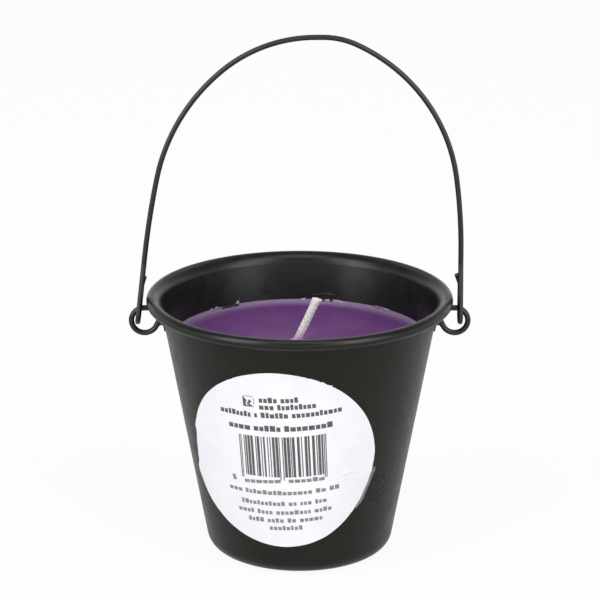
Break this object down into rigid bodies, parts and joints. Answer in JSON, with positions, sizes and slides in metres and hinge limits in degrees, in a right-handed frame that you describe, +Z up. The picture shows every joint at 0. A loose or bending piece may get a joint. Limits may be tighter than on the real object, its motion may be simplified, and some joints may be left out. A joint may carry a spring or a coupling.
{
  "type": "bucket candle",
  "caption": "Candle poured in a small black steel bucket with a rolled rim, wire ring ears, a swinging wire bail, a leaning wick and a round paper label.",
  "frame": {"origin": "centre of the bucket's base, on the surface that it stands on", "axes": "+Z up along the bucket's axis, -Y towards the front with the label, X along the bail's hinge axis through the two ears"},
  "size_m": [0.0972, 0.087, 0.1504],
  "materials": {
    "black_paint": "satin",
    "black_wire": "satin",
    "purple_wax": "waxy",
    "cotton_wick": "braided cotton, waxed",
    "tinplate": "bright",
    "white_paper": "satin",
    "clear_film": "gloss"
  },
  "bodies": {
    "root": {"bucket": "black_paint", "ear_left": "black_wire", "ear_right": "black_wire", "wax": "purple_wax", "wick": "cotton_wick", "wick_sustainer": "tinplate", "label": "white_paper", "clear_tab": "clear_film"},
    "bail": {"bail_handle": "black_wire"}
  },
  "joints": [
    {"name": "bail_hinge", "type": "hinge", "parent": "root", "child": "bail", "pos_m": [0, 0, 0.07085], "axis": [1, 0, 0], "range_deg": [-150, 150]}
  ]
}
